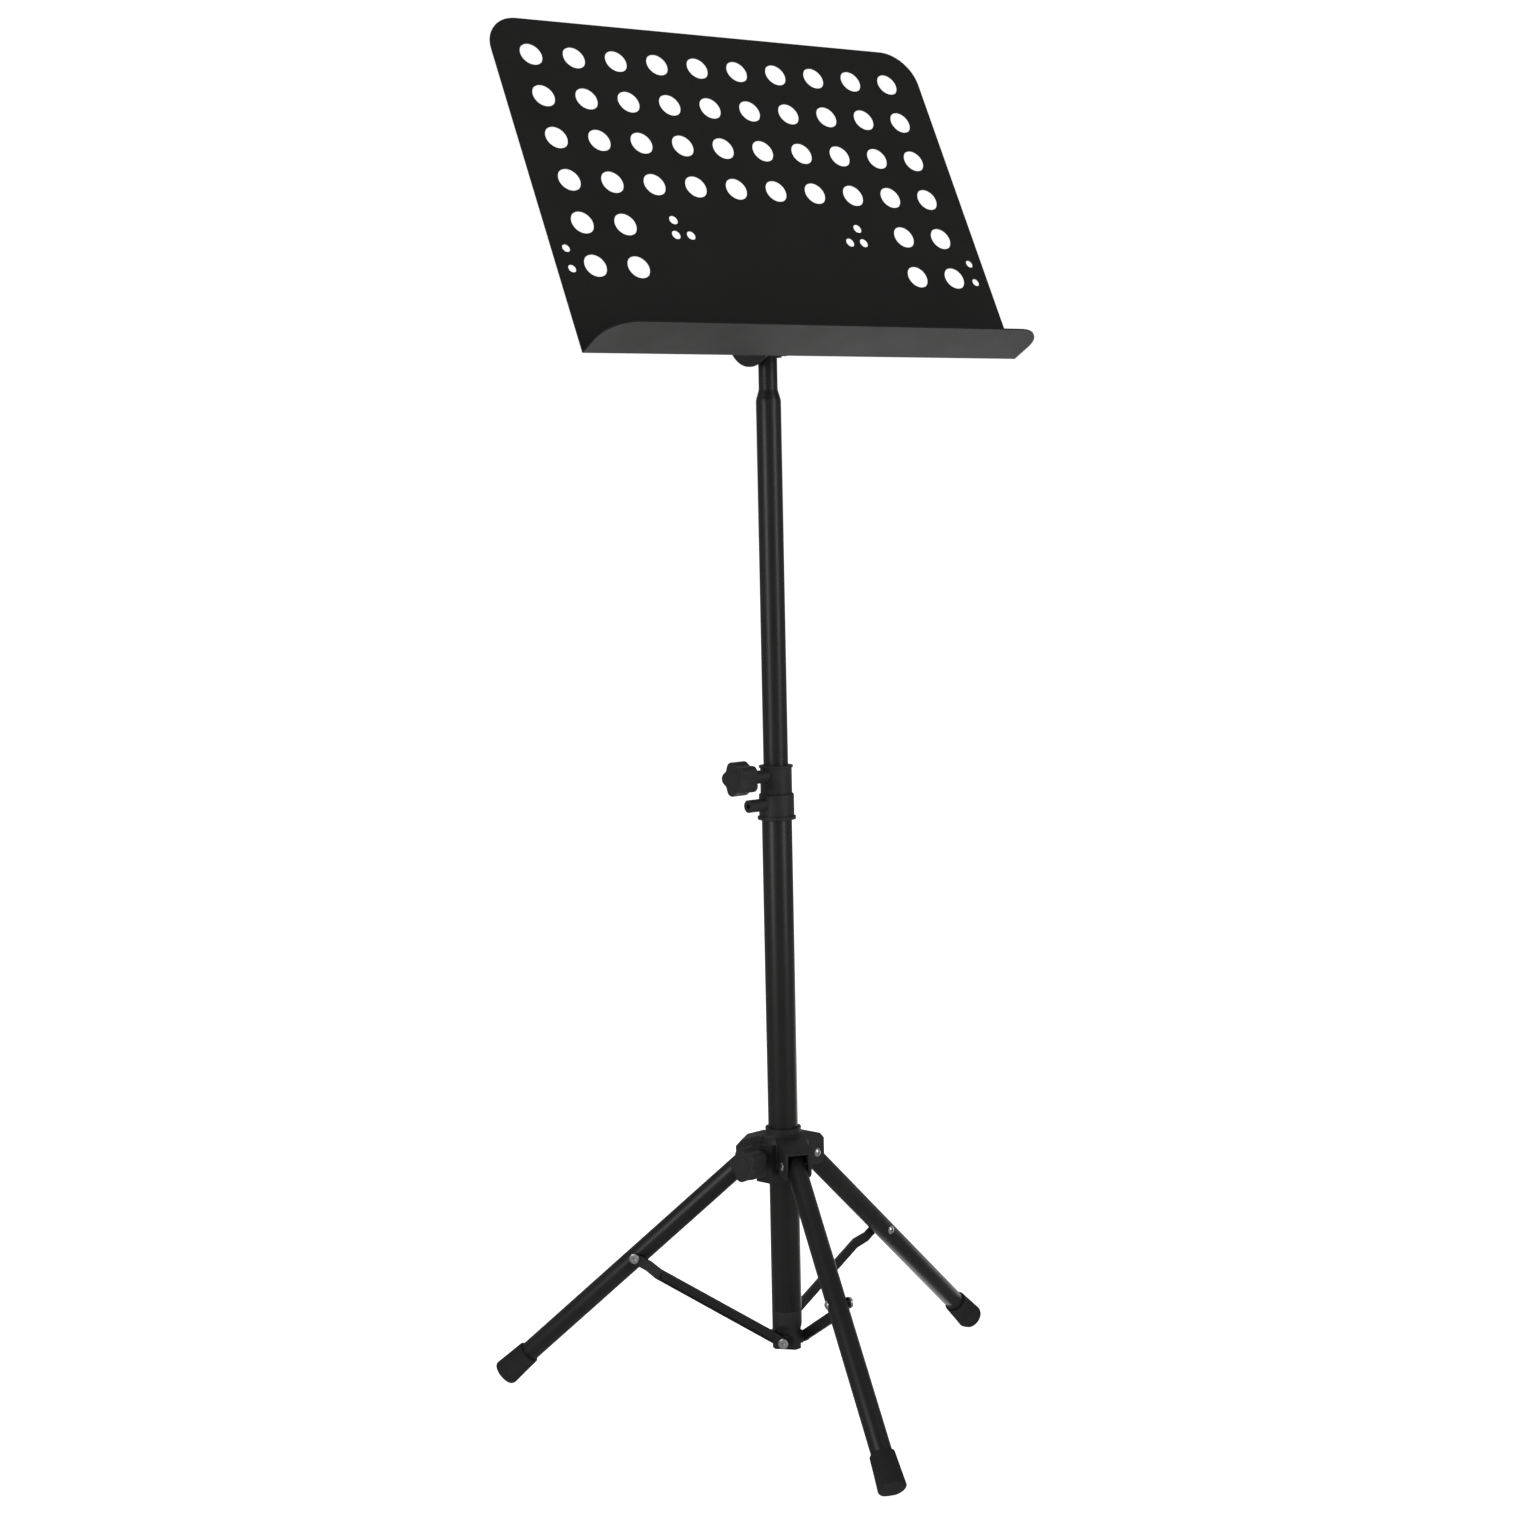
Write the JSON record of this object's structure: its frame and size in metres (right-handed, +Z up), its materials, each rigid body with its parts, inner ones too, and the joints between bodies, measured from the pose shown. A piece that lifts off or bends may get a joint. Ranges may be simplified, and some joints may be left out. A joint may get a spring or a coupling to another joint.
{
  "type": "music stand",
  "caption": "Folding tripod music stand with a perforated metal desk and ledge, telescoping column, star knobs and braced tube legs with rubber feet.",
  "frame": {"origin": "on the floor at the axis of the column", "axes": "+Z up along the column, +X to the right of a player facing the desk, -Y towards the player"},
  "size_m": [0.5247, 0.4975, 1.2897],
  "materials": {
    "desk_paint": "matte black powder coat with a fine grain",
    "tube_paint": "satin black enamel",
    "bracket_paint": "satin black enamel on pressed steel",
    "black_plastic": "matte moulded plastic",
    "foot_rubber": "matte black rubber",
    "bright_steel": "bright plated steel",
    "dark_steel": "blackened steel",
    "insert_brass": "turned brass",
    "inner_plastic": "natural nylon, black"
  },
  "bodies": {
    "column": {"lower_tube": "tube_paint", "bottom_bracket": "black_plastic", "bottom_pivot_screws": "bright_steel", "height_collar": "black_plastic", "collar_screw": "dark_steel", "collar_insert": "insert_brass", "collar_pad": "inner_plastic"},
    "upper_column": {"upper_tube": "tube_paint", "upper_tube_guide": "inner_plastic"},
    "head": {"desk_socket": "black_plastic", "socket_screw": "dark_steel", "tilt_bolt": "dark_steel", "tilt_nut": "bright_steel", "tilt_washers": "inner_plastic"},
    "desk": {"desk_plate": "desk_paint", "tilt_bracket": "bracket_paint"},
    "height_knob": {"height_knob": "black_plastic", "height_stud": "bright_steel"},
    "hub": {"hub": "black_plastic", "hub_pivot_pins": "bright_steel", "hub_nut": "bright_steel", "hub_pad": "inner_plastic"},
    "hub_knob": {"hub_knob": "black_plastic", "hub_stud": "bright_steel"},
    "left_leg": {"left_leg_tube": "tube_paint", "left_leg_plug": "black_plastic", "left_leg_rivet": "bright_steel", "left_foot_cap": "foot_rubber"},
    "left_brace": {"left_brace": "bracket_paint", "left_brace_screw": "bright_steel"},
    "right_leg": {"right_leg_tube": "tube_paint", "right_leg_plug": "black_plastic", "right_leg_rivet": "bright_steel", "right_foot_cap": "foot_rubber"},
    "right_brace": {"right_brace": "bracket_paint", "right_brace_screw": "bright_steel"},
    "front_leg": {"front_leg_tube": "tube_paint", "front_leg_plug": "black_plastic", "front_leg_rivet": "bright_steel", "front_foot_cap": "foot_rubber"},
    "front_brace": {"front_brace": "bracket_paint", "front_brace_screw": "bright_steel"}
  },
  "joints": [
    {"name": "height_slide", "type": "slide", "parent": "column", "child": "upper_column", "axis": [0, 0, 1], "range_m": [-0.33, 0.06]},
    {"name": "desk_swivel", "type": "hinge", "parent": "upper_column", "child": "head", "pos_m": [0, 0, 1], "axis": [0, 0, 1], "continuous": true},
    {"name": "desk_tilt", "type": "hinge", "parent": "head", "child": "desk", "pos_m": [0, 0, 1.015], "axis": [-1, 0, 0], "range_deg": [-27.3, 62.7]},
    {"name": "height_knob_turn", "type": "hinge", "parent": "column", "child": "height_knob", "pos_m": [-0.04318, -0.0053, 0.5983], "axis": [-0.9925, -0.1219, 0], "range_deg": [-360, 360]},
    {"name": "hub_slide", "type": "slide", "parent": "column", "child": "hub", "axis": [0, 0, 1], "range_m": [0, 0.1355]},
    {"name": "hub_knob_turn", "type": "hinge", "parent": "hub", "child": "hub_knob", "pos_m": [-0.04679, -0.01072, 0.236], "axis": [-0.9748, -0.2233, 0], "range_deg": [-360, 360]},
    {"name": "left_leg_fold", "type": "hinge", "parent": "hub", "child": "left_leg", "pos_m": [-0.02314, 0.02491, 0.233], "axis": [-0.7325, -0.6807, 0], "range_deg": [0, 47.93]},
    {"name": "left_brace_fold", "type": "hinge", "parent": "column", "child": "left_brace", "pos_m": [0, 0, 0.057], "axis": [0.7325, 0.6807, 0], "range_deg": [0, 50.92]},
    {"name": "right_leg_fold", "type": "hinge", "parent": "hub", "child": "right_leg", "pos_m": [0.03314, 0.00759, 0.233], "axis": [-0.2233, 0.9748, 0], "range_deg": [0, 47.93]},
    {"name": "right_brace_fold", "type": "hinge", "parent": "column", "child": "right_brace", "pos_m": [0, 0, 0.057], "axis": [0.2233, -0.9748, 0], "range_deg": [0, 50.92]},
    {"name": "front_leg_fold", "type": "hinge", "parent": "hub", "child": "front_leg", "pos_m": [-0.01, -0.0325, 0.233], "axis": [0.9558, -0.294, 0], "range_deg": [0, 47.93]},
    {"name": "front_brace_fold", "type": "hinge", "parent": "column", "child": "front_brace", "pos_m": [0, 0, 0.057], "axis": [-0.9558, 0.294, 0], "range_deg": [0, 50.92]}
  ],
  "couplings": [
    {"joint": "left_leg_fold", "follows": "hub_slide", "rad_per_m": 6.1737},
    {"joint": "left_brace_fold", "follows": "hub_slide", "rad_per_m": 6.5563},
    {"joint": "right_leg_fold", "follows": "hub_slide", "rad_per_m": 6.1737},
    {"joint": "right_brace_fold", "follows": "hub_slide", "rad_per_m": 6.5563},
    {"joint": "front_leg_fold", "follows": "hub_slide", "rad_per_m": 6.1737},
    {"joint": "front_brace_fold", "follows": "hub_slide", "rad_per_m": 6.5563}
  ]
}
